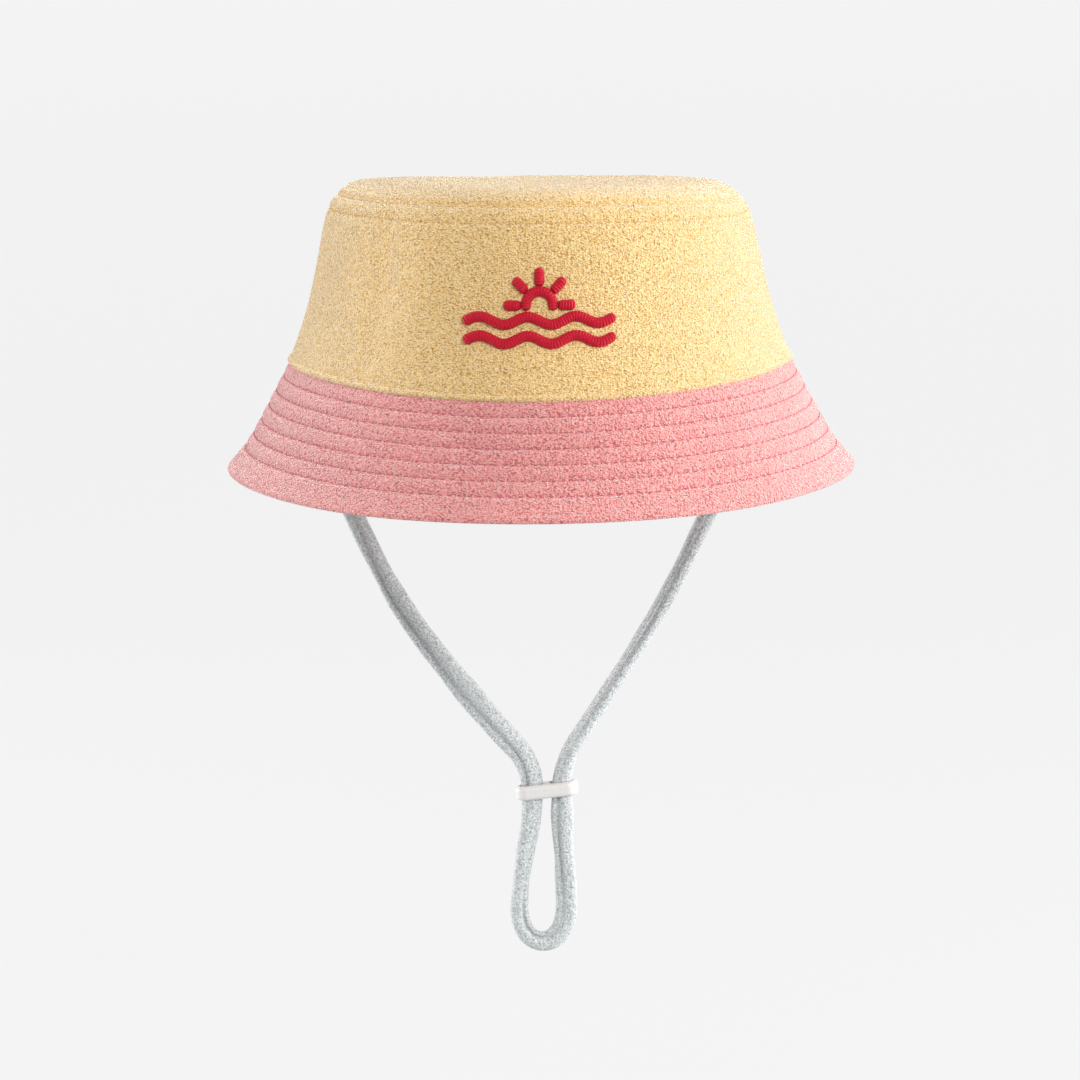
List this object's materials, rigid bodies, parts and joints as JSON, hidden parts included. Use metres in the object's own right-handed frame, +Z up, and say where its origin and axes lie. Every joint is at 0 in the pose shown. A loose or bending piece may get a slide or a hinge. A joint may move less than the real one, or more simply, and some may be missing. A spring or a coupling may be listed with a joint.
{
  "type": "bucket hat",
  "caption": "Soft child's bucket hat with a round stitched brim, raised front embroidery, a hanging chin strap and a sliding bead to shorten it.",
  "frame": {"origin": "centre of the head opening, in the plane of the seam between crown and brim", "axes": "+Z up out of the crown, -Y the front of the hat, +X to the right seen from the front"},
  "size_m": [0.1984, 0.1984, 0.2503],
  "materials": {
    "terry_yellow": "terry towelling, warm yellow",
    "terry_pink": "terry towelling, pink",
    "lining_cotton": "plain cotton, cream",
    "interlining_white": "non-woven stiffener",
    "sweatband_cotton": "cotton twill tape, cream",
    "thread_pink": "polyester sewing thread",
    "thread_yellow": "polyester sewing thread",
    "thread_cream": "polyester sewing thread",
    "embroidery_red": "raised satin stitch, red",
    "strap_jersey": "melange cotton jersey tube, pale blue-grey",
    "slider_plastic": "white moulded plastic, satin"
  },
  "bodies": {
    "hat": {"crown_top": "terry_yellow", "crown_side_front": "terry_yellow", "crown_side_back": "terry_yellow", "lining_top": "lining_cotton", "lining_side_front": "lining_cotton", "lining_side_back": "lining_cotton", "brim_top_front": "terry_pink", "brim_top_back": "terry_pink", "brim_interlining": "interlining_white", "brim_under_front": "terry_pink", "brim_under_back": "terry_pink", "sweatband": "sweatband_cotton", "brim_stitch_row_1": "thread_pink", "brim_stitch_row_2": "thread_pink", "brim_stitch_row_3": "thread_pink", "brim_stitch_row_4": "thread_pink", "brim_stitch_row_5": "thread_pink", "brim_stitch_row_6": "thread_pink", "crown_top_stitch_upper": "thread_yellow", "crown_top_stitch_lower": "thread_yellow", "crown_base_stitch": "thread_yellow", "sweatband_stitch": "thread_cream", "embroidery_sun": "embroidery_red", "embroidery_wave_upper": "embroidery_red", "embroidery_wave_lower": "embroidery_red", "strap_end_left": "strap_jersey", "strap_end_right": "strap_jersey", "bar_tack_left": "thread_cream", "bar_tack_right": "thread_cream"},
    "strap": {"chin_strap": "strap_jersey"},
    "slider": {"cord_slider": "slider_plastic"}
  },
  "joints": [
    {"name": "strap_swing", "type": "hinge", "parent": "hat", "child": "strap", "pos_m": [0, 0, 0], "axis": [1, 0, 0], "range_deg": [-60, 60]},
    {"name": "slider_slide", "type": "slide", "parent": "strap", "child": "slider", "axis": [0, 0, 1], "range_m": [-0.028, 0.065], "deforming": ["chin_strap"]}
  ]
}
